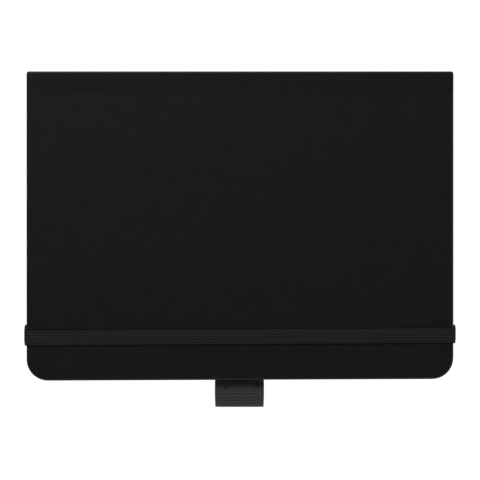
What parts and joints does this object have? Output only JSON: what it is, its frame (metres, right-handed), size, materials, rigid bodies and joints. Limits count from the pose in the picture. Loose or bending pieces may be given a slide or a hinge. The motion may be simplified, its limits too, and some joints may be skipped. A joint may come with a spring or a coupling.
{
  "type": "pocket notebook",
  "caption": "Hardcover pocket notebook with sewn pages, a hinged cover, an elastic closing band and an elastic pen loop at the fore-edge.",
  "frame": {"origin": "middle of the back cover's outer face, without the pen loop", "axes": "+X along the spine, +Y from the fore-edge to the spine, +Z out of the front cover"},
  "size_m": [0.1516, 0.1179, 0.0148],
  "materials": {
    "cover_skin": "matte black soft-touch coated sheet",
    "greyboard": "raw greyboard",
    "endpaper": "uncoated cream endpaper",
    "page_paper": "uncoated cream writing paper",
    "thread": "waxed white sewing thread",
    "glue": "dried flexible spine glue",
    "mull": "open cotton gauze",
    "elastic": "black ribbed elastic",
    "loop_webbing": "black woven elastic webbing with selvedges"
  },
  "bodies": {
    "book": {"back_board": "greyboard", "back_cover_skin": "cover_skin", "back_joint_skin": "cover_skin", "back_pastedown": "endpaper", "back_flyleaf": "endpaper", "signature_1": "page_paper", "signature_2": "page_paper", "signature_3": "page_paper", "signature_4": "page_paper", "signature_5": "page_paper", "signature_6": "page_paper", "sewing_thread": "thread", "spine_glue": "glue", "mull_lining": "mull", "elastic_anchor_left": "elastic", "elastic_anchor_right": "elastic", "pen_loop_tab": "loop_webbing"},
    "spine": {"spine_inlay": "greyboard", "spine_skin": "cover_skin"},
    "front_joint": {"front_joint_skin": "cover_skin"},
    "front_cover": {"front_board": "greyboard", "front_cover_skin": "cover_skin", "front_pastedown": "endpaper"},
    "flyleaf": {"front_flyleaf": "endpaper"},
    "leaf": {"first_leaf": "page_paper"},
    "band": {"elastic_band": "elastic"},
    "loop": {"pen_loop": "loop_webbing"}
  },
  "joints": [
    {"name": "front_cover_hinge", "type": "hinge", "parent": "book", "child": "front_cover", "pos_m": [0, 0.0521, 0.01145], "axis": [-1, 0, 0], "range_deg": [0, 180]},
    {"name": "spine_hinge", "type": "hinge", "parent": "book", "child": "spine", "pos_m": [0, 0.0533, 0.00017], "axis": [-1, 0, 0], "range_deg": [0, 52], "deforming": ["back_joint_skin"]},
    {"name": "front_joint_fold", "type": "hinge", "parent": "spine", "child": "front_joint", "pos_m": [0, 0.0533, 0.01383], "axis": [-1, 0, 0], "range_deg": [-50.1, 0], "deforming": ["front_joint_skin"]},
    {"name": "flyleaf_turn", "type": "hinge", "parent": "book", "child": "flyleaf", "pos_m": [0, 0.0521, 0.01145], "axis": [-1, 0, 0], "range_deg": [0, 178.2]},
    {"name": "leaf_turn", "type": "hinge", "parent": "book", "child": "leaf", "pos_m": [0, 0.0521, 0.01145], "axis": [-1, 0, 0], "range_deg": [0, 108]},
    {"name": "band_release", "type": "hinge", "parent": "book", "child": "band", "pos_m": [0, -0.03832, 0.0067], "axis": [1, 0, 0], "range_deg": [0, 180], "deforming": ["elastic_band"]},
    {"name": "loop_flex", "type": "hinge", "parent": "book", "child": "loop", "pos_m": [0, -0.0549, 0.0021], "axis": [-1, 0, 0], "range_deg": [-8, 18], "stiffness_Nm_per_rad": 0.01}
  ],
  "couplings": [
    {"joint": "spine_hinge", "follows": "front_cover_hinge", "ratio": 0.28889},
    {"joint": "front_joint_fold", "follows": "front_cover_hinge", "ratio": -0.27833},
    {"joint": "flyleaf_turn", "follows": "front_cover_hinge", "ratio": 0.99},
    {"joint": "leaf_turn", "follows": "front_cover_hinge", "ratio": 0.6},
    {"joint": "band_release", "follows": "front_cover_hinge", "ratio": 1}
  ]
}
